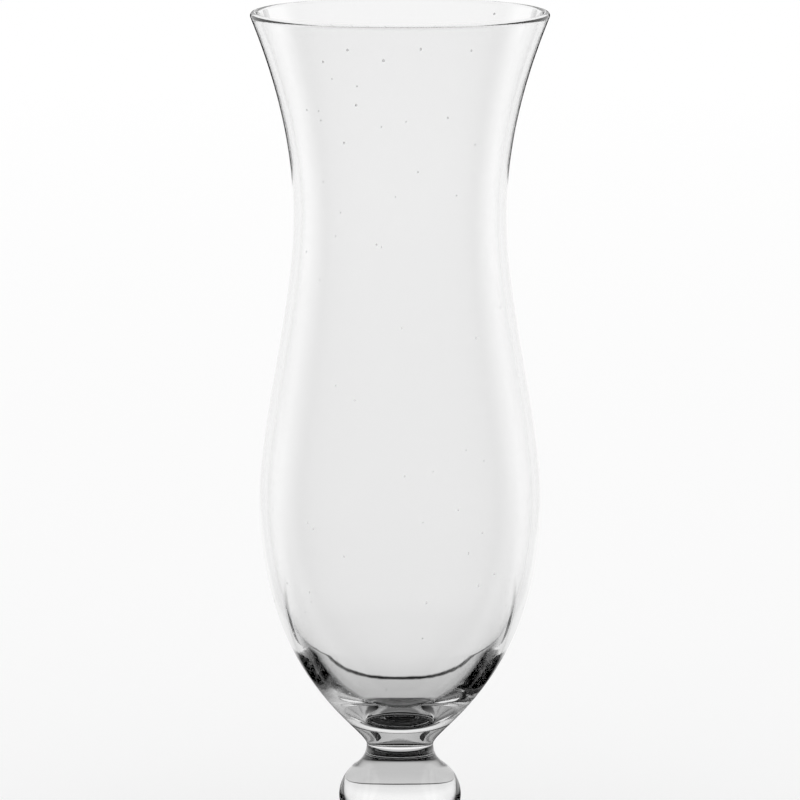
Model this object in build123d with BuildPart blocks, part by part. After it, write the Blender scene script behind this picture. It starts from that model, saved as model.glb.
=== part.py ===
from build123d import *
from math import atan2, cos, degrees, radians, sin, sqrt
import os

# Hurricane glass, empty and clear: a blown bowl, a stem with a ball knop and a round foot.
# The three pieces are fused hot, end to end, so their flat joint faces touch.
# Heights are in mm above the table, radii in mm from the upright axis.

# Foot
foot_radius = 38.0
foot_edge = 3.2  # thickness of the rounded edge
foot_height = 11.7  # table to the joint with the stem
foot_neck_radius = 9.0  # narrowest place of the stem, at that joint
foot_sweep = 5.0  # how far the top keeps to the upright at the joint
foot_spread = 19.0  # how far the top runs level at the edge
rest_ring = 9.0  # width of the flat ring that stands on the table
foot_hollow = 1.6  # height of the shallow hollow inside that ring

# Stem
knop_radius = 16.3
shoulder_rounding = 10.2  # radius of the knop's round side above its widest place
underside_rounding = 8.1  # radius of the knop's round side below it
neck_radius = 8.9  # narrowest place of the stem, at the joint with the bowl
neck_rounding = 6.6  # radius of the hollows above and below the knop

# Bowl, with its heights measured from the joint with the stem
bowl_height = 196.7
belly_rise = 66.5
waist_rise = 142.3
rim_radius = 39.5
belly_radius = 37.4
waist_radius = 28.2
wall = 2.0
base_thickness = 8.7  # solid glass between the joint and the floor of the bowl
rim_lean = 21.5  # lean of the wall at the rim, in degrees from upright
heel_rise = 28.8  # where the inside turns in towards the floor and the glass grows thick
heel_radius = 26.8
heel_lean = 31.0  # lean of the inside there, in degrees from upright

# Reach of each curve of the wall, along its direction at the named place
neck_reach = 4.6
belly_reach_down = 48.5
belly_reach_up = 22.0
waist_reach_down = 23.6
waist_reach_up = 23.2
rim_reach = 11.3
inside_reach = 17.5
heel_reach_up = 7.6
heel_reach_down = 18.2
floor_reach = 9.2

# The knop's round sides are tangent to each other at its widest place, and to the hollows above and below
shoulder_core = knop_radius - shoulder_rounding
underside_core = knop_radius - underside_rounding
shoulder_offset = neck_radius + neck_rounding - shoulder_core
underside_offset = foot_neck_radius + neck_rounding - underside_core
shoulder_rise = sqrt((shoulder_rounding + neck_rounding) ** 2 - shoulder_offset**2)
underside_rise = sqrt((underside_rounding + neck_rounding) ** 2 - underside_offset**2)
shoulder_turn = degrees(atan2(shoulder_rise, shoulder_offset))
underside_turn = degrees(atan2(underside_rise, underside_offset))
knop_height = foot_height + underside_rise
neck_height = knop_height + shoulder_rise

# Bowl heights above the table
belly_height = neck_height + belly_rise
waist_height = neck_height + waist_rise
rim_height = neck_height + bowl_height
floor_height = neck_height + base_thickness

# The lip is a full round as thick as the wall
lip_rounding = wall / 2
lip_centre = Vector(rim_radius - lip_rounding, rim_height - lip_rounding)
rim_along = Vector(sin(radians(rim_lean)), cos(radians(rim_lean)))
rim_across = Vector(rim_along.Y, -rim_along.X)
lip_outside = lip_centre + rim_across * lip_rounding
lip_inside = lip_centre - rim_across * lip_rounding

# The inside follows the outer wall down to the heel, then rounds into the floor
heel = Vector(heel_radius, neck_height + heel_rise)
heel_along = Vector(sin(radians(heel_lean)), cos(radians(heel_lean)))

os.makedirs("parts", exist_ok=True)

with BuildPart() as foot:
    edge_rounding = foot_edge / 2
    edge_centre = foot_radius - edge_rounding
    ring_inside = edge_centre - rest_ring
    hollow_curve = (ring_inside**2 + foot_hollow**2) / (2 * foot_hollow)
    with BuildSketch(Plane.XZ):
        with BuildLine():
            Line((0, foot_hollow), (0, foot_height))
            Line((0, foot_height), (foot_neck_radius, foot_height))
            Bezier(
                (foot_neck_radius, foot_height),
                (foot_neck_radius, foot_height - foot_sweep),
                (edge_centre - foot_spread, foot_edge),
                (edge_centre, foot_edge),
            )
            CenterArc((edge_centre, edge_rounding), edge_rounding, 90, -180)
            Line((edge_centre, 0), (ring_inside, 0))
            RadiusArc((ring_inside, 0), (0, foot_hollow), -hollow_curve)
        make_face()
    revolve(axis=Axis.Z)

with BuildPart() as stem:
    with BuildSketch(Plane.XZ):
        with BuildLine():
            Line((0, foot_height), (0, neck_height))
            Line((0, neck_height), (neck_radius, neck_height))
            CenterArc((neck_radius + neck_rounding, neck_height), neck_rounding, 180, shoulder_turn)
            CenterArc((shoulder_core, knop_height), shoulder_rounding, shoulder_turn, -shoulder_turn)
            CenterArc((underside_core, knop_height), underside_rounding, 0, -underside_turn)
            CenterArc(
                (foot_neck_radius + neck_rounding, foot_height),
                neck_rounding,
                180 - underside_turn,
                underside_turn,
            )
            Line((foot_neck_radius, foot_height), (0, foot_height))
        make_face()
    revolve(axis=Axis.Z)

with BuildPart() as bowl:
    with BuildSketch(Plane.XZ):
        with BuildLine():
            Line((0, floor_height), (0, neck_height))
            Line((0, neck_height), (neck_radius, neck_height))
            Bezier(
                (neck_radius, neck_height),
                (neck_radius, neck_height + neck_reach),
                (belly_radius, belly_height - belly_reach_down),
                (belly_radius, belly_height),
            )
            Bezier(
                (belly_radius, belly_height),
                (belly_radius, belly_height + belly_reach_up),
                (waist_radius, waist_height - waist_reach_down),
                (waist_radius, waist_height),
            )
            Bezier(
                (waist_radius, waist_height),
                (waist_radius, waist_height + waist_reach_up),
                lip_outside - rim_along * rim_reach,
                lip_outside,
            )
            CenterArc(lip_centre, lip_rounding, -rim_lean, 180)
            Bezier(
                lip_inside,
                lip_inside - rim_along * rim_reach,
                (waist_radius - wall, waist_height + waist_reach_up),
                (waist_radius - wall, waist_height),
            )
            Bezier(
                (waist_radius - wall, waist_height),
                (waist_radius - wall, waist_height - waist_reach_down),
                (belly_radius - wall, belly_height + belly_reach_up),
                (belly_radius - wall, belly_height),
            )
            Bezier(
                (belly_radius - wall, belly_height),
                (belly_radius - wall, belly_height - inside_reach),
                heel + heel_along * heel_reach_up,
                heel,
            )
            Bezier(
                heel,
                heel - heel_along * heel_reach_down,
                (floor_reach, floor_height),
                (0, floor_height),
            )
        make_face()
    revolve(axis=Axis.Z)

bowl.part.label = "bowl"
stem.part.label = "stem"
foot.part.label = "foot"

export_step(bowl.part, "parts/bowl.step")
export_step(stem.part, "parts/stem.step")
export_step(foot.part, "parts/foot.step")
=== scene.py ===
"""A clear hurricane glass in a white studio: a waisted bowl, a stem with a ball knop and a round foot."""
import math
import random

import bmesh
import bpy
from bpy.props import FloatProperty, FloatVectorProperty, IntProperty, PointerProperty
from bpy.types import Operator, Panel, PropertyGroup
from mathutils import Matrix, Vector
from mathutils.geometry import interpolate_bezier


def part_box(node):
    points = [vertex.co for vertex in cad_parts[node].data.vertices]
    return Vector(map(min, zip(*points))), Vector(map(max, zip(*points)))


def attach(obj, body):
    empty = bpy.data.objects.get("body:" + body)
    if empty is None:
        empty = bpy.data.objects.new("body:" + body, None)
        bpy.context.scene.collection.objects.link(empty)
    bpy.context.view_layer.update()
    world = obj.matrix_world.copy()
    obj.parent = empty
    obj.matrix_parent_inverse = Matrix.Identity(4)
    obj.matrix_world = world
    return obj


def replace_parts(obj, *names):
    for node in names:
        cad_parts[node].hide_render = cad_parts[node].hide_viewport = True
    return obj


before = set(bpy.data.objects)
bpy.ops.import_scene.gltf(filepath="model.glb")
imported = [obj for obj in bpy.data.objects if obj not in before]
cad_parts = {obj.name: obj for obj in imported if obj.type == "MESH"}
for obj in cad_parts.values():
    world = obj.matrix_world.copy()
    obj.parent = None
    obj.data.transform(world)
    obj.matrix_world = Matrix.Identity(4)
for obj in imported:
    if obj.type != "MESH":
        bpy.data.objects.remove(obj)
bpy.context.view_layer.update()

bl_info = {
    "name": "Hurricane Glass",
    "version": (1, 0, 0),
    "blender": (4, 5, 0),
    "location": "3D View > Sidebar > Hurricane Glass",
    "description": "Builds a clear hurricane glass and the white studio that it stands in",
    "category": "Add Mesh",
}

# Heights of the two fused joints and of the rim, from the frame
FOOT_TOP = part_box("foot")[1][2]
NECK_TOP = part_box("stem")[1][2]
RIM_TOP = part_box("bowl")[1][2]

# Meshes
AROUND = 160  # steps of every turned piece
LONG_RUN = 96  # steps of the curves that light bends in most
SHORT_RUN = 48  # steps of the other curves
ARC_RUN = 24  # steps of an arc
FLOOR_AROUND = 96  # sides of the floor
SAME_SPOT = 1e-7  # points closer than this are one
AT_JOINT = 1e-6  # a level face this close to a joint's height belongs to the joint
SHARP = math.radians(40)  # a crease this steep isn't smoothed

# Tiny bubbles in the wall, with the least and the most of each range
BUBBLE_DRAW = 7  # start of the random draws
BUBBLE_DEPTH = (0.4, 0.6)  # share of the wall's thickness, from the outside
BUBBLE_SIZE = (0.5, 1.0)  # share of the largest radius
BUBBLE_STRETCH = (1.0, 1.6)  # height over width

# Unevenness of the glass: how fine each noise is, and its scale along the height, which draws it out
STREAK_GRAIN, STREAK_UPRIGHT = 260.0, 0.05
WAVE_GRAIN, WAVE_UPRIGHT = 55.0, 0.4
SMEAR_GRAIN, SMEAR_UPRIGHT = 35.0, 1.0
SMEAR_RANGE = (0.5, 0.8)  # noise at which the haze starts and at which it is full

# How often light has been mirrored or bent where the glass starts to show something else
MANY_MIRRORINGS = 5  # from here on, the floor shows as it does straight through
CAUGHT_MIRRORINGS = 15  # from here on, light is caught in the wall
ONE_WALL = 2  # bends on the way into a wall and out of it
FAR_WALL = 4  # bends on the way back from the far wall
FLOOR_LOSS = 0.65  # share of the floor's tone that goes after one mirroring
ROOM_LOSS = 0.6  # share of the room's tone that goes in the second mirroring

# Floor, in metres: places are distances from the middle of the glass
SEEN_NEAR, SEEN_FAR, SEEN_REACH = 0.3, 2.0, 3.0  # near tone, far tone and end of what the camera sees
SHOWN_REACH = 1.5  # end of what the glass shows
CRISP = 0.0005  # width of a crisp change of tone
TABLE_NEAR = 0.06  # depth up to which the table is a little darker
TABLE_NEAR_SHARE = 0.88  # share of the table's tone there
TABLE_FADE = (0.2, 0.3)  # where the table starts to turn into the backdrop, and has done so
EDGE_FADE = (0.062, 0.078)  # where the table's dark edge starts to fade to either side, and has gone
MIRRORED_EDGE_FADE = (0.2, 0.24)  # the same for its mirror image, all round
FOOT_SHADE_FADE = (0.006, 0.01)  # where the shade under the foot starts to fade beyond it, and has gone

# Tones of the floor round the table, by distance
BACKDROP_TONES = (
    (0.122, 0.75), (0.133, 0.79), (0.151, 0.85), (0.234, 0.89),
    (0.332, 0.94), (0.585, 0.965), (1.0, 0.98), (1.5, 1.0),
)
# Tones of the floor that mirrors in the glass, by distance
MIRROR_TONES = ((0.085, 0.0), (0.1, 0.2), (0.12, 0.6), (0.16, 0.8), (0.3, 0.95), (1.0, 0.98))

# Room: azimuths are in degrees from the back to the right, rises are sines of the angle above level
SIDE_FADE = (63, 80)  # azimuths where the backdrop starts to fade to either side, and has gone
LAMP_RISE = (0.75, 0.85)  # rises where the light overhead starts, and is full
LEVEL_RISE = (0.12, 0.25)  # rises where the white behind the glass starts to fade, and has gone

# Tones of the level room where it mirrors, by azimuth
LEVEL_TONES = (
    (-115, 0.0), (-105, 0.4), (-95, 0.75), (-60, 0.7), (-45, 0.2), (-25, 0.0),
    (25, 0.0), (45, 0.2), (60, 0.7), (95, 0.8), (105, 0.4), (115, 0.0),
)
# Tones of the room further up, each with the rises where they start and are full
UPPER_TONES = (
    (0.14, 0.18, (
        (-90, 0.0), (-70, 0.5), (-50, 0.2), (-25, 0.0), (25, 0.0),
        (50, 0.2), (70, 0.6), (97, 0.65), (108, 0.4), (116, 0.0),
    )),
    (0.36, 0.44, (
        (-115, 0.0), (-90, 0.2), (-75, 0.4), (0, 0.6), (60, 0.5), (97, 0.65), (115, 0.0),
    )),
)
# Tones of the room where it shows straight through, and where light runs round in the wall, by azimuth
THROUGH_TONES = ((-62, 0.0), (-48, 1.0), (48, 1.0), (62, 0.0))
GALLERY_TONES = ((-165, 0.6), (-150, 0.0), (150, 0.0), (165, 0.6))

# Camera
CAMERA_LENS = 288.0  # mm
CAMERA_SENSOR = 36.0  # mm
CAMERA_PLACE = (0.0, -1.6803, 0.3958)
CAMERA_TILT = math.radians(81.06)  # up from straight down


def grey(tone):
    """A colour without a hue, where 1 is white."""
    return (tone, tone, tone, 1.0)


WHITE = grey(1.0)
BLACK = grey(0.0)


def length(name, description, default):
    """A size in metres."""
    return FloatProperty(name=name, description=description, default=default, unit="LENGTH", precision=5)


def share(name, description, default):
    """A tone or an amount, where 1 is white or all of it."""
    return FloatProperty(name=name, description=description, default=default, min=0.0, subtype="FACTOR")


def angle(name, description, degrees):
    """An angle, given in degrees."""
    return FloatProperty(name=name, description=description, default=math.radians(degrees), subtype="ANGLE")


class FootSizes(PropertyGroup):
    """Sizes of the round foot."""

    radius: length("Radius", "Radius of the foot at its edge", 0.038)
    edge: length("Edge", "Thickness of the rounded edge", 0.0032)
    height: length("Height", "Table to the joint with the stem", FOOT_TOP)
    neck: length("Neck", "Radius at the joint with the stem", 0.009)
    sweep: length("Sweep", "How far the top keeps to the upright at the joint", 0.005)
    spread: length("Spread", "How far the top runs level at the edge", 0.019)
    rest_ring: length("Rest ring", "Width of the flat ring that stands on the table", 0.009)
    hollow: length("Hollow", "Height of the shallow hollow inside the ring", 0.0016)


class StemSizes(PropertyGroup):
    """Sizes of the stem and its ball knop."""

    height: length("Height", "Table to the joint with the bowl", NECK_TOP)
    neck: length("Neck", "Radius at the joint with the bowl", 0.0089)
    knop: length("Knop", "Radius of the knop at its widest place", 0.0163)
    shoulder: length("Shoulder", "Rounding of the knop above its widest place", 0.0102)
    underside: length("Underside", "Rounding of the knop below its widest place", 0.0081)
    hollow: length("Hollow", "Rounding of the hollows above and below the knop", 0.0066)


class BowlSizes(PropertyGroup):
    """Sizes of the bowl, with its heights above the joint with the stem."""

    rim: length("Rim", "Radius of the lip", 0.0395)
    height: length("Height", "Joint to the top of the lip", RIM_TOP - NECK_TOP)
    belly: length("Belly", "Radius at the belly", 0.0374)
    belly_rise: length("Belly height", "Joint to the widest place of the belly", 0.0665)
    waist: length("Waist", "Radius at the waist", 0.0282)
    waist_rise: length("Waist height", "Joint to the narrowest place of the waist", 0.1423)
    wall: length("Wall", "Thickness of the wall", 0.002)
    base: length("Base", "Solid glass between the joint and the floor of the bowl", 0.0087)
    lean: angle("Lean", "Lean of the wall at the rim, from upright", 21.5)
    neck_reach: length("Neck reach", "How far the wall keeps upright at the joint", 0.0046)
    belly_down: length("Below belly", "How far the wall keeps upright below the belly", 0.0485)
    belly_up: length("Above belly", "How far the wall keeps upright above the belly", 0.022)
    waist_down: length("Below waist", "How far the wall keeps upright below the waist", 0.0236)
    waist_up: length("Above waist", "How far the wall keeps upright above the waist", 0.0232)
    rim_reach: length("Rim reach", "How far the wall keeps its lean below the rim", 0.0113)
    inside_reach: length("Inside reach", "How far the inside keeps upright below the belly", 0.0175)
    heel: length("Heel", "Radius of the inside where it turns in towards the floor", 0.0268)
    heel_rise: length("Heel height", "Joint to that place", 0.0288)
    heel_lean: angle("Heel lean", "Lean of the inside there, from upright", 31.0)
    heel_up: length("Above heel", "How far the inside keeps that lean above the heel", 0.0076)
    heel_down: length("Below heel", "How far the inside keeps that lean below the heel", 0.0182)
    floor_reach: length("Floor reach", "How far the floor of the bowl runs level", 0.0092)


class GlassLook(PropertyGroup):
    """Finish of the glass."""

    tint: FloatVectorProperty(
        name="Tint",
        description="Colour of the clear glass",
        default=(1.0, 1.0, 1.0),
        size=3,
        subtype="COLOR",
    )
    refraction: FloatProperty(name="Refraction", description="Index of refraction", default=1.52, min=1.0)
    streak_depth: length("Streak depth", "Depth of the faint streaks that blowing leaves", 0.00001)
    wave_depth: length("Wave depth", "Depth of the slow waves in the wall", 0.00002)
    haze: share("Haze", "Roughness where the polish is least even", 0.01)
    # painted glow: the tone with which the glass glows where light is caught in the wall, between the two
    # heights below
    caught: share("Caught light", "Tone of light that has run round in the wall for long", 0.9)
    painted_glow_bottom: length("Caught bottom", "Height from which such light leaves the wall", 0.0665)
    painted_glow_top: length("Caught top", "Height up to which such light leaves the wall", 0.19)
    seeds: IntProperty(name="Seeds", description="Number of tiny bubbles in the wall", default=70, min=0)
    seed_radius: length("Seed radius", "Radius of the largest bubble", 0.0003)


class StudioLook(PropertyGroup):
    """Tones of the studio, as the camera sees it and as the glass shows it."""

    floor_radius: length("Floor radius", "Radius of the pale floor", 6.0)
    floor_near: share("Floor near", "Tone of the floor beside the glass", 0.955)
    floor_far: share("Floor far", "Tone of the floor far behind the glass", 1.0)
    # painted shade under the glass: black where the thick base shows the table, paler where the foot alone
    # shows it
    underfoot_shade: share("Underfoot", "Tone of the table under the glass, as the thick base shows it", 0.0)
    through_foot_shade: share("Through foot", "Tone of the table under the glass, as the foot shows it", 0.85)
    table: share("Table", "Tone that the glass shows of the table behind it", 0.64)
    table_depth: length("Table depth", "Middle of the glass to the table's dark back edge", 0.1133)
    table_edge: length("Table edge", "Width of that dark edge", 0.0078)
    mirror_blur: length("Mirror blur", "Extra width of the dark edge where it mirrors, on each side", 0.006)
    mirror_far: length("Mirror far", "How much nearer the outside of the glass mirrors the floor", 0.06)
    mirror_deep: length("Mirror deep", "How much nearer the far wall of the glass mirrors it", 0.09)
    overhead: share("Overhead", "Tone of the soft light overhead", 0.15)
    single: share("Single", "Tone of the backdrop in a single mirroring", 0.9)
    card_distance: length("Card distance", "How far behind the glass the two dark strips hang", 0.15)
    card_inner: length("Card inner", "Middle to the inner edge of each strip", 0.042)
    card_outer: length("Card outer", "Middle to the outer edge of each strip", 0.081)
    card_bottom: length("Card bottom", "Height of the strips' lower edge", 0.169)
    card_top: length("Card top", "Height of the strips' upper edge", 0.27)


class HurricaneGlass(PropertyGroup):
    """All sizes and finishes of the glass and its studio."""

    foot: PointerProperty(type=FootSizes)
    stem: PointerProperty(type=StemSizes)
    bowl: PointerProperty(type=BowlSizes)
    glass: PointerProperty(type=GlassLook)
    studio: PointerProperty(type=StudioLook)


def spot(radius, height):
    """A point of an outline, at a radius from the axis and a height above the table."""
    return Vector((radius, 0.0, height))


def arc(centre, radius, first, turn, steps=ARC_RUN):
    """Points of an arc about a centre, from an angle through a turn, both in radians."""
    angles = (first + turn * step / steps for step in range(steps + 1))
    return [centre + radius * spot(math.cos(a), math.sin(a)) for a in angles]


def curve(start, start_pull, end_pull, end, steps=SHORT_RUN):
    """Points of a cubic curve between two ends, each drawn towards its pull."""
    return interpolate_bezier(start, start_pull, end_pull, end, steps)


def foot_outline(foot):
    """Outline of the foot, from the middle of its hollow to the middle of its joint."""
    edge_rounding = foot.edge / 2
    edge_centre = foot.radius - edge_rounding
    ring_inside = edge_centre - foot.rest_ring
    hollow_curve = (ring_inside**2 + foot.hollow**2) / (2 * foot.hollow)
    hollow_turn = math.asin(ring_inside / hollow_curve)
    return [
        *arc(spot(0, foot.hollow - hollow_curve), hollow_curve, math.pi / 2, -hollow_turn),
        *arc(spot(edge_centre, edge_rounding), edge_rounding, -math.pi / 2, math.pi),
        *curve(
            spot(edge_centre, foot.edge),
            spot(edge_centre - foot.spread, foot.edge),
            spot(foot.neck, foot.height - foot.sweep),
            spot(foot.neck, foot.height),
        ),
        spot(0, foot.height),
    ]


def stem_outline(foot, stem):
    """Outline of the stem, from the middle of its lower joint to the middle of its upper one."""
    shoulder_core = stem.knop - stem.shoulder
    underside_core = stem.knop - stem.underside
    shoulder_offset = stem.neck + stem.hollow - shoulder_core
    underside_offset = foot.neck + stem.hollow - underside_core
    shoulder_turn = math.acos(shoulder_offset / (stem.shoulder + stem.hollow))
    underside_turn = math.acos(underside_offset / (stem.underside + stem.hollow))
    knop_height = stem.height - math.tan(shoulder_turn) * shoulder_offset
    lower_hollow = spot(foot.neck + stem.hollow, foot.height)
    upper_hollow = spot(stem.neck + stem.hollow, stem.height)
    return [
        spot(0, foot.height),
        *arc(lower_hollow, stem.hollow, math.pi, -underside_turn),
        *arc(spot(underside_core, knop_height), stem.underside, -underside_turn, underside_turn),
        *arc(spot(shoulder_core, knop_height), stem.shoulder, 0, shoulder_turn, SHORT_RUN),
        *arc(upper_hollow, stem.hollow, math.pi + shoulder_turn, -shoulder_turn),
        spot(0, stem.height),
    ]


def bowl_outside(bowl, stem):
    """Outer outline of the bowl, from the joint up to the lip, and the lip's centre."""
    joint = stem.height
    belly, waist = joint + bowl.belly_rise, joint + bowl.waist_rise
    lip_rounding = bowl.wall / 2
    lip_centre = spot(bowl.rim - lip_rounding, joint + bowl.height - lip_rounding)
    along = spot(math.sin(bowl.lean), math.cos(bowl.lean))
    lip_outside = lip_centre + lip_rounding * spot(along.z, -along.x)
    outside = [
        *curve(
            spot(stem.neck, joint),
            spot(stem.neck, joint + bowl.neck_reach),
            spot(bowl.belly, belly - bowl.belly_down),
            spot(bowl.belly, belly),
            LONG_RUN,
        ),
        *curve(
            spot(bowl.belly, belly),
            spot(bowl.belly, belly + bowl.belly_up),
            spot(bowl.waist, waist - bowl.waist_down),
            spot(bowl.waist, waist),
        ),
        *curve(
            spot(bowl.waist, waist),
            spot(bowl.waist, waist + bowl.waist_up),
            lip_outside - bowl.rim_reach * along,
            lip_outside,
        ),
    ]
    return outside, lip_centre


def bowl_inside(bowl, stem, lip_centre):
    """Inner outline of the bowl, from the lip down to the middle of its floor."""
    joint = stem.height
    belly, waist, floor = joint + bowl.belly_rise, joint + bowl.waist_rise, joint + bowl.base
    inner_belly, inner_waist = bowl.belly - bowl.wall, bowl.waist - bowl.wall
    along = spot(math.sin(bowl.lean), math.cos(bowl.lean))
    lip_inside = lip_centre - bowl.wall / 2 * spot(along.z, -along.x)
    heel = spot(bowl.heel, joint + bowl.heel_rise)
    heel_along = spot(math.sin(bowl.heel_lean), math.cos(bowl.heel_lean))
    return [
        *curve(
            lip_inside,
            lip_inside - bowl.rim_reach * along,
            spot(inner_waist, waist + bowl.waist_up),
            spot(inner_waist, waist),
        ),
        *curve(
            spot(inner_waist, waist),
            spot(inner_waist, waist - bowl.waist_down),
            spot(inner_belly, belly + bowl.belly_up),
            spot(inner_belly, belly),
        ),
        *curve(
            spot(inner_belly, belly),
            spot(inner_belly, belly - bowl.inside_reach),
            heel + bowl.heel_up * heel_along,
            heel,
            LONG_RUN,
        ),
        *curve(
            heel,
            heel - bowl.heel_down * heel_along,
            spot(bowl.floor_reach, floor),
            spot(0, floor),
            LONG_RUN,
        ),
    ]


def turned(outline):
    """A closed bmesh that an outline makes when it is turned once round the upright axis."""
    shell = bmesh.new()
    points = [shell.verts.new(point) for point in outline]
    rungs = [shell.edges.new(pair) for pair in zip(points, points[1:])]
    bmesh.ops.spin(
        shell,
        geom=points + rungs,
        cent=(0, 0, 0),
        axis=(0, 0, 1),
        angle=math.tau,
        steps=AROUND,
        use_merge=True,
    )
    bmesh.ops.remove_doubles(shell, verts=shell.verts, dist=SAME_SPOT)
    bmesh.ops.recalc_face_normals(shell, faces=shell.faces)
    return shell


def add_seeds(shell, outside, glass, wall):
    """Adds tiny bubbles inside the wall of the bowl, each a closed skin that faces its own air."""
    draw = random.Random(BUBBLE_DRAW)
    lowest = outside[LONG_RUN // 2].z
    ring = [point for point in outside if point.z > lowest]
    for _ in range(glass.seeds):
        place = draw.choice(ring)
        middle = spot(place.x - wall * draw.uniform(*BUBBLE_DEPTH), place.z)
        middle.rotate(Matrix.Rotation(draw.uniform(0, math.tau), 3, "Z"))
        radius = glass.seed_radius * draw.uniform(*BUBBLE_SIZE)
        stretch = Matrix.Diagonal((1, 1, draw.uniform(*BUBBLE_STRETCH), 1))
        skin = bmesh.ops.create_icosphere(
            shell, subdivisions=2, radius=radius, matrix=Matrix.Translation(middle) @ stretch
        )
        faces = {face for vert in skin["verts"] for face in vert.link_faces}
        bmesh.ops.reverse_faces(shell, faces=list(faces))


def linked_object(name, shell, *materials):
    """A new object of the scene, made from a bmesh and its materials."""
    mesh = bpy.data.meshes.new(name)
    shell.to_mesh(mesh)
    shell.free()
    for material in materials:
        mesh.materials.append(material)
    piece = bpy.data.objects.new(name, mesh)
    bpy.context.scene.collection.objects.link(piece)
    return piece


def glass_piece(name, shell, joints):
    """Makes a turned shell a piece of the glass, with its fused joints at the given heights clear."""
    for face in shell.faces:
        height = face.verts[0].co.z
        level = all(abs(vert.co.z - height) < SAME_SPOT for vert in face.verts)
        fused = level and any(abs(height - joint) < AT_JOINT for joint in joints)
        face.smooth = True
        face.material_index = int(fused)
    for edge in shell.edges:
        edge.smooth = edge.calc_face_angle(0.0) < SHARP
    piece = linked_object(name, shell, blown_glass(), fused_joint())
    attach(piece, "root")
    return piece


def stage_piece(name, shell, material):
    """Makes a bmesh an object of the scene with one material, not attached to the glass."""
    piece = linked_object(name, shell, material)
    return piece


class NodeBoard:
    """A material's or world's node tree, with short ways to add and join nodes."""

    def __init__(self, owner):
        owner.use_nodes = True
        self.tree = owner.node_tree
        self.tree.nodes.clear()

    def add(self, kind, inputs=None, **settings):
        """Adds a node, sets it up, and sets or links its inputs."""
        node = self.tree.nodes.new(kind)
        for key, value in settings.items():
            setattr(node, key, value)
        for socket, value in (inputs or {}).items():
            if isinstance(value, bpy.types.NodeSocket):
                self.tree.links.new(value, node.inputs[socket])
            else:
                node.inputs[socket].default_value = value
        return node

    def result(self, operation, *values):
        """The result of a Math node on sockets and numbers."""
        return self.add("ShaderNodeMath", dict(enumerate(values)), operation=operation).outputs[0]

    def both(self, first, second):
        """1 where two masks are both 1."""
        return self.result("MULTIPLY", first, second)

    def at_least(self, count, least):
        """1 where a whole count is no less than a number, else 0."""
        return self.result("GREATER_THAN", count, least - 0.5)

    def at_most(self, count, most):
        """1 where a whole count is no more than a number, else 0."""
        return self.result("LESS_THAN", count, most + 0.5)

    def from_to(self, count, least, most):
        """1 where a whole count is from one number to another, else 0."""
        return self.result("COMPARE", count, (least + most) / 2, (most - least + 1) / 2)

    def steps(self, value, stops, reach=1.0):
        """A tone that follows a value from 0 to a reach, through (value, tone) stops."""
        scaled = self.add("ShaderNodeMapRange", {"Value": value, "From Max": reach}).outputs["Result"]
        ramp = self.add("ShaderNodeValToRGB", {"Fac": scaled})
        elements = ramp.color_ramp.elements
        while len(elements) < len(stops):
            elements.new(0.0)
        for element, (place, tone) in zip(elements, stops):
            element.position = place / reach
            element.color = grey(tone)
        return ramp.outputs["Color"]

    def rise(self, value, start, end):
        """A mask that rises from 0 where a value is at a start to 1 where it is at an end."""
        return self.steps(value, ((start, 0.0), (end, 1.0)))

    def fall(self, value, start, end):
        """A mask that falls from 1 where a value is at a start to 0 where it is at an end."""
        return self.steps(value, ((start, 1.0), (end, 0.0)))

    def round_tones(self, place, stops):
        """A tone that goes round the glass through (azimuth, tone) stops."""
        level = self.add("ShaderNodeSeparateXYZ", {0: place}).outputs
        heading = self.result("ARCTAN2", level["X"], level["Y"])
        turn = self.result("MULTIPLY_ADD", heading, 1 / math.tau, 0.5)
        return self.steps(turn, [(0.5 + azimuth / 360, tone) for azimuth, tone in stops])

    def facing(self, place, tone):
        """A tone that spans the backdrop and fades at its two sides."""
        start, end = SIDE_FADE
        return self.round_tones(place, ((-end, 0.0), (-start, tone), (start, tone), (end, 0.0)))

    def mixed(self, factor, first, second, blend="MIX"):
        """A tone between two others, or one of them blended with the other."""
        sockets = {"Factor": factor, 6: first, 7: second}
        return self.add("ShaderNodeMix", sockets, data_type="RGBA", blend_type=blend).outputs[2]

    def product(self, first, second):
        """Two tones multiplied."""
        return self.mixed(1.0, first, second, "MULTIPLY")

    def noise(self, place, grain, upright, detail):
        """Soft noise of a grain, with its own scale along the height."""
        scaled = self.add("ShaderNodeMapping", {"Vector": place, "Scale": (1, 1, upright)})
        inputs = {"Vector": scaled.outputs["Vector"], "Scale": grain, "Detail": detail}
        return self.add("ShaderNodeTexNoise", inputs).outputs["Fac"]

    def finish_material(self, factor, first, second):
        """Ends a material with the first of two shaders where a mask is 0, and the second where it is 1."""
        surface = self.add("ShaderNodeMixShader", {0: factor, 1: first.outputs[0], 2: second.outputs[0]})
        self.add("ShaderNodeOutputMaterial", {"Surface": surface.outputs[0]})


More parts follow.
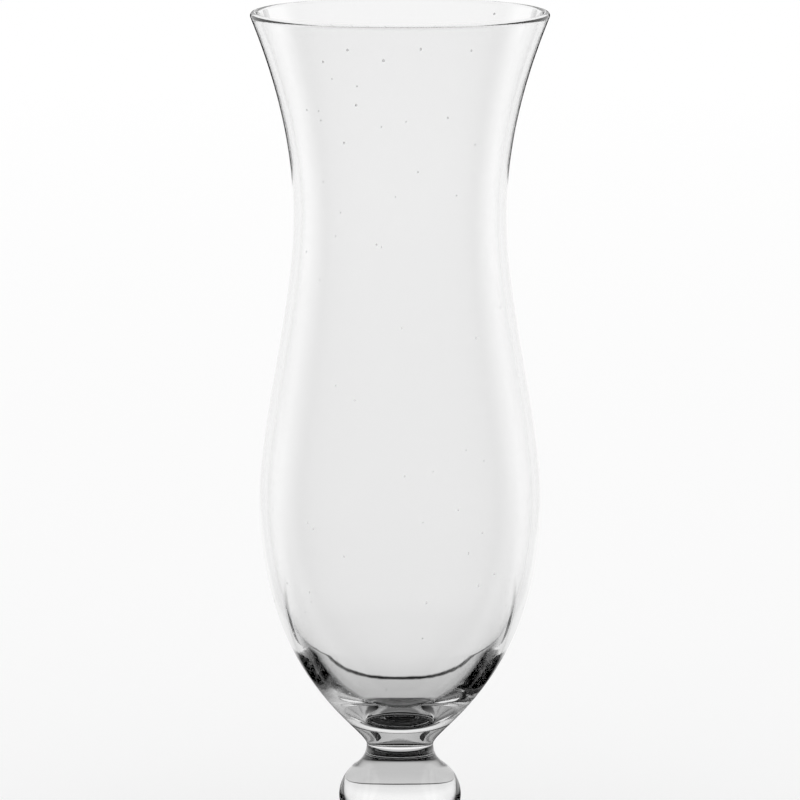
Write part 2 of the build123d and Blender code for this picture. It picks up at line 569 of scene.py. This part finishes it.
def blown_glass():
    """Clear blown glass with faint upright streaks, slow waves in the wall, a slightly uneven polish and a
    painted glow where light is caught in the wall.
    """
    material = bpy.data.materials.get("blown_glass")
    if material:
        return material
    material = bpy.data.materials.new("blown_glass")
    look = bpy.context.scene.hurricane_glass.glass
    board = NodeBoard(material)
    place = board.add("ShaderNodeTexCoord").outputs["Object"]

    # Surface
    streaks = board.noise(place, STREAK_GRAIN, STREAK_UPRIGHT, detail=2.0)
    waves = board.noise(place, WAVE_GRAIN, WAVE_UPRIGHT, detail=1.0)
    smears = board.noise(place, SMEAR_GRAIN, SMEAR_UPRIGHT, detail=3.0)
    wavy = board.add("ShaderNodeBump", {"Height": waves, "Distance": look.wave_depth})
    streaky = board.add(
        "ShaderNodeBump",
        {"Height": streaks, "Distance": look.streak_depth, "Normal": wavy.outputs["Normal"]},
    )
    haze_start, haze_full = SMEAR_RANGE
    polish = board.add(
        "ShaderNodeMapRange",
        {"Value": smears, "From Min": haze_start, "From Max": haze_full, "To Max": look.haze},
    )
    glass = board.add(
        "ShaderNodeBsdfPrincipled",
        {
            "Base Color": (*look.tint, 1),
            "Roughness": polish.outputs["Result"],
            "IOR": look.refraction,
            "Transmission Weight": 1.0,
            "Normal": streaky.outputs["Normal"],
        },
    )

    # Painted glow: where light has run round in the thin wall for long, the glass glows with a fixed tone
    height = board.add("ShaderNodeSeparateXYZ", {0: place}).outputs["Z"]
    middle = (look.painted_glow_top + look.painted_glow_bottom) / 2
    half = (look.painted_glow_top - look.painted_glow_bottom) / 2
    thin = board.result("COMPARE", height, middle, half)
    mirrored = board.add("ShaderNodeLightPath").outputs["Glossy Depth"]
    caught = board.both(thin, board.at_least(mirrored, CAUGHT_MIRRORINGS))
    painted_glow = board.add("ShaderNodeEmission", {"Color": grey(look.caught)})
    board.finish_material(caught, glass, painted_glow)
    return material


def fused_joint():
    """The faces where two pieces are fused, which show nothing."""
    material = bpy.data.materials.get("fused_joint")
    if material:
        return material
    material = bpy.data.materials.new("fused_joint")
    board = NodeBoard(material)
    clear = board.add("ShaderNodeBsdfTransparent", {"Color": WHITE})
    board.add("ShaderNodeOutputMaterial", {"Surface": clear.outputs["BSDF"]})
    return material


def floor_through(board, studio, bent, place, distance):
    """Tone of the floor that shows through the glass: a table with a dark back edge, before a backdrop."""
    level = board.add("ShaderNodeSeparateXYZ", {0: place}).outputs
    depth = level["Y"]
    edge, past = studio.table_depth, studio.table_depth + studio.table_edge
    table_tones = ((TABLE_NEAR, TABLE_NEAR_SHARE * studio.table), (edge - CRISP, studio.table))
    edged = board.steps(depth, (*table_tones, (edge, 0.0)))
    plain = board.steps(depth, table_tones)
    aside = board.rise(board.result("ABSOLUTE", level["X"]), *EDGE_FADE)
    table = board.mixed(board.both(aside, board.at_least(bent, ONE_WALL + 1)), edged, plain)
    before = board.fall(depth, past - CRISP, past)
    near = board.both(board.fall(distance, *TABLE_FADE), before)
    return board.mixed(near, board.steps(distance, BACKDROP_TONES, SHOWN_REACH), table)


def floor_mirrored(board, studio, mirrored, bent, place, distance):
    """Tone of the floor that mirrors in the glass, where the table's dark edge is blurred."""
    outside = board.at_most(bent, 0)
    far = board.at_least(bent, FAR_WALL)
    nearer = board.result("MULTIPLY_ADD", outside, -studio.mirror_far, distance)
    nearer = board.result("MULTIPLY_ADD", far, -studio.mirror_deep, nearer)
    tone = board.steps(nearer, MIRROR_TONES, SHOWN_REACH)

    edge = studio.table_depth - studio.mirror_blur
    past = studio.table_depth + studio.table_edge + studio.mirror_blur
    depth = board.add("ShaderNodeSeparateXYZ", {0: place}).outputs["Y"]
    line = board.steps(depth, ((edge - CRISP, 1.0), (edge, 0.0), (past - CRISP, 0.0), (past, 1.0)))
    line = board.mixed(board.rise(distance, *MIRRORED_EDGE_FADE), line, WHITE)
    tone = board.product(board.product(tone, line), board.facing(place, 1.0))
    again = board.result("MULTIPLY", board.at_least(mirrored, 2), FLOOR_LOSS)
    return board.mixed(again, tone, BLACK)


def pale_floor(studio):
    """The floor: matt and pale to the camera, and a table before a backdrop where the glass shows it."""
    material = bpy.data.materials.new("pale_floor")
    board = NodeBoard(material)
    rays = board.add("ShaderNodeLightPath").outputs
    mirrored, bent = rays["Glossy Depth"], rays["Transmission Depth"]
    place = board.add("ShaderNodeTexCoord").outputs["Object"]
    distance = board.add("ShaderNodeVectorMath", {0: place}, operation="LENGTH").outputs["Value"]
    seen_tones = ((SEEN_NEAR, studio.floor_near), (SEEN_FAR, studio.floor_far))
    seen = board.add("ShaderNodeBsdfDiffuse", {"Color": board.steps(distance, seen_tones, SEEN_REACH)})

    # What the glass shows, by how often the light was mirrored
    through = floor_through(board, studio, bent, place, distance)
    ahead = board.product(through, board.facing(place, 1.0))
    through = board.mixed(board.at_least(mirrored, MANY_MIRRORINGS), through, ahead)
    few = board.from_to(mirrored, 1, MANY_MIRRORINGS - 1)
    shown = board.mixed(few, through, floor_mirrored(board, studio, mirrored, bent, place, distance))

    # Painted shade under the foot, which is paler where it shows through the foot alone
    foot_radius = bpy.context.scene.hurricane_glass.foot.radius
    shade_start, shade_end = FOOT_SHADE_FADE
    shade = ((foot_radius + shade_start, studio.underfoot_shade), (foot_radius + shade_end, 1.0))
    shown = board.product(shown, board.steps(distance, shade))
    clear = board.both(board.at_most(mirrored, 0), board.at_most(bent, ONE_WALL))
    under = board.both(clear, board.result("LESS_THAN", distance, foot_radius))
    shown = board.mixed(under, shown, grey(studio.through_foot_shade))
    board.finish_material(rays["Is Camera Ray"], board.add("ShaderNodeEmission", {"Color": shown}), seen)
    return material


def studio_world(studio):
    """White all round for the camera and the floor, and the tones of the room where the glass shows it."""
    world = bpy.data.worlds.new("studio")
    board = NodeBoard(world)
    rays = board.add("ShaderNodeLightPath").outputs
    mirrored, bent = rays["Glossy Depth"], rays["Transmission Depth"]
    direction = board.add("ShaderNodeTexCoord").outputs["Generated"]
    height = board.add("ShaderNodeSeparateXYZ", {0: direction}).outputs["Z"]

    # The room where it mirrors, with its light overhead
    room = board.round_tones(direction, LEVEL_TONES)
    for start, full, stops in UPPER_TONES:
        room = board.mixed(board.rise(height, start, full), room, board.round_tones(direction, stops))
    room = board.mixed(board.from_to(mirrored, 1, 1), room, board.facing(direction, studio.single))
    twice = board.result("MULTIPLY", board.from_to(mirrored, 2, 2), ROOM_LOSS)
    room = board.mixed(twice, room, BLACK)
    room = board.mixed(board.rise(height, *LAMP_RISE), room, grey(studio.overhead))

    # The room straight through the glass, and to light that runs round in the wall
    clear = board.mixed(board.fall(height, *LEVEL_RISE), board.round_tones(direction, THROUGH_TONES), WHITE)
    room = board.mixed(board.at_most(mirrored, 0), room, clear)
    caught = board.at_least(mirrored, CAUGHT_MIRRORINGS)
    room = board.mixed(caught, room, board.round_tones(direction, GALLERY_TONES))

    turns = board.result("ADD", bent, mirrored)
    tone = board.mixed(board.at_least(turns, 1), WHITE, room)
    light = board.add("ShaderNodeBackground", {"Color": tone})
    board.add("ShaderNodeOutputWorld", {"Surface": light.outputs[0]})
    return world


def dark_strip(name, side, studio):
    """A dark strip hung behind the glass, which only the glass shows, as the dark edge of its flare."""
    width = studio.card_outer - studio.card_inner
    rise = studio.card_top - studio.card_bottom
    middle = (side * (studio.card_inner + width / 2), studio.card_distance, studio.card_bottom + rise / 2)
    upright = Matrix.Rotation(math.pi / 2, 4, "X") @ Matrix.Diagonal((width, rise, 1, 1))
    shell = bmesh.new()
    bmesh.ops.create_grid(
        shell, x_segments=1, y_segments=1, size=0.5, matrix=Matrix.Translation(middle) @ upright
    )
    material = bpy.data.materials.new(name)
    board = NodeBoard(material)
    rays = board.add("ShaderNodeLightPath").outputs
    mirrored, bent = rays["Glossy Depth"], rays["Transmission Depth"]
    grazing = board.both(board.at_least(mirrored, 1), board.at_most(bent, ONE_WALL))
    clear = board.add("ShaderNodeBsdfTransparent", {"Color": WHITE})
    black = board.add("ShaderNodeEmission", {"Color": BLACK})
    board.finish_material(grazing, clear, black)
    strip = stage_piece(name, shell, material)
    strip.visible_camera = False
    strip.visible_diffuse = False
    strip.visible_shadow = False


def set_camera(scene):
    """Sets the camera before the glass and a little above it."""
    lens = bpy.data.cameras.new("camera")
    lens.lens = CAMERA_LENS
    lens.sensor_width = CAMERA_SENSOR
    camera = bpy.data.objects.new("camera", lens)
    camera.location = CAMERA_PLACE
    camera.rotation_euler = (CAMERA_TILT, 0.0, 0.0)
    scene.collection.objects.link(camera)
    scene.camera = camera


class HURRICANE_OT_foot(Operator):
    """Turn the round foot"""

    bl_idname = "hurricane.foot"
    bl_label = "Foot"

    def execute(self, context):
        sizes = context.scene.hurricane_glass
        shell = turned(foot_outline(sizes.foot))
        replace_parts(glass_piece("glass_foot", shell, [sizes.foot.height]), "foot")
        return {"FINISHED"}


class HURRICANE_OT_stem(Operator):
    """Turn the stem with its ball knop"""

    bl_idname = "hurricane.stem"
    bl_label = "Stem"

    def execute(self, context):
        sizes = context.scene.hurricane_glass
        shell = turned(stem_outline(sizes.foot, sizes.stem))
        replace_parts(glass_piece("glass_stem", shell, [sizes.foot.height, sizes.stem.height]), "stem")
        return {"FINISHED"}


class HURRICANE_OT_bowl(Operator):
    """Turn the waisted bowl and set the tiny bubbles in its wall"""

    bl_idname = "hurricane.bowl"
    bl_label = "Bowl"

    def execute(self, context):
        sizes = context.scene.hurricane_glass
        bowl, joint = sizes.bowl, sizes.stem.height
        outside, lip_centre = bowl_outside(bowl, sizes.stem)
        lip = arc(lip_centre, bowl.wall / 2, -bowl.lean, math.pi)
        shell = turned([spot(0, joint), *outside, *lip, *bowl_inside(bowl, sizes.stem, lip_centre)])
        add_seeds(shell, outside, sizes.glass, bowl.wall)
        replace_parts(glass_piece("glass_bowl", shell, [joint]), "bowl")
        return {"FINISHED"}


class HURRICANE_OT_studio(Operator):
    """Set the pale floor, the soft light all round and the camera"""

    bl_idname = "hurricane.studio"
    bl_label = "Studio"

    def execute(self, context):
        scene = context.scene
        studio = scene.hurricane_glass.studio
        disc = bmesh.new()
        bmesh.ops.create_circle(disc, cap_ends=True, segments=FLOOR_AROUND, radius=studio.floor_radius)
        stage_piece("floor", disc, pale_floor(studio))
        dark_strip("left_strip", -1, studio)
        dark_strip("right_strip", 1, studio)
        scene.world = studio_world(studio)
        set_camera(scene)
        scene.view_settings.view_transform = "Standard"
        scene.cycles.max_bounces = 48
        scene.cycles.glossy_bounces = 32
        scene.cycles.transmission_bounces = 48
        scene.cycles.transparent_max_bounces = 32
        return {"FINISHED"}


class HURRICANE_PT_panel(Panel):
    """Lists the pieces of the glass and its sizes"""

    bl_idname = "HURRICANE_PT_panel"
    bl_label = "Hurricane Glass"
    bl_space_type = "VIEW_3D"
    bl_region_type = "UI"
    bl_category = "Hurricane Glass"

    def draw(self, context):
        settings = context.scene.hurricane_glass
        for operator in OPERATORS:
            self.layout.operator(operator.bl_idname)
        for group in (settings.bowl, settings.stem, settings.foot, settings.glass, settings.studio):
            box = self.layout.box()
            for name in group.__annotations__:
                box.prop(group, name)


GROUPS = (FootSizes, StemSizes, BowlSizes, GlassLook, StudioLook, HurricaneGlass)
OPERATORS = (HURRICANE_OT_bowl, HURRICANE_OT_stem, HURRICANE_OT_foot, HURRICANE_OT_studio)


def register():
    for cls in (*GROUPS, *OPERATORS, HURRICANE_PT_panel):
        bpy.utils.register_class(cls)
    bpy.types.Scene.hurricane_glass = PointerProperty(type=HurricaneGlass)


def unregister():
    del bpy.types.Scene.hurricane_glass
    for cls in reversed((*GROUPS, *OPERATORS, HURRICANE_PT_panel)):
        bpy.utils.unregister_class(cls)


def main():
    register()
    bpy.ops.hurricane.bowl()
    bpy.ops.hurricane.stem()
    bpy.ops.hurricane.foot()
    bpy.ops.hurricane.studio()


if __name__ == "__main__":
    main()
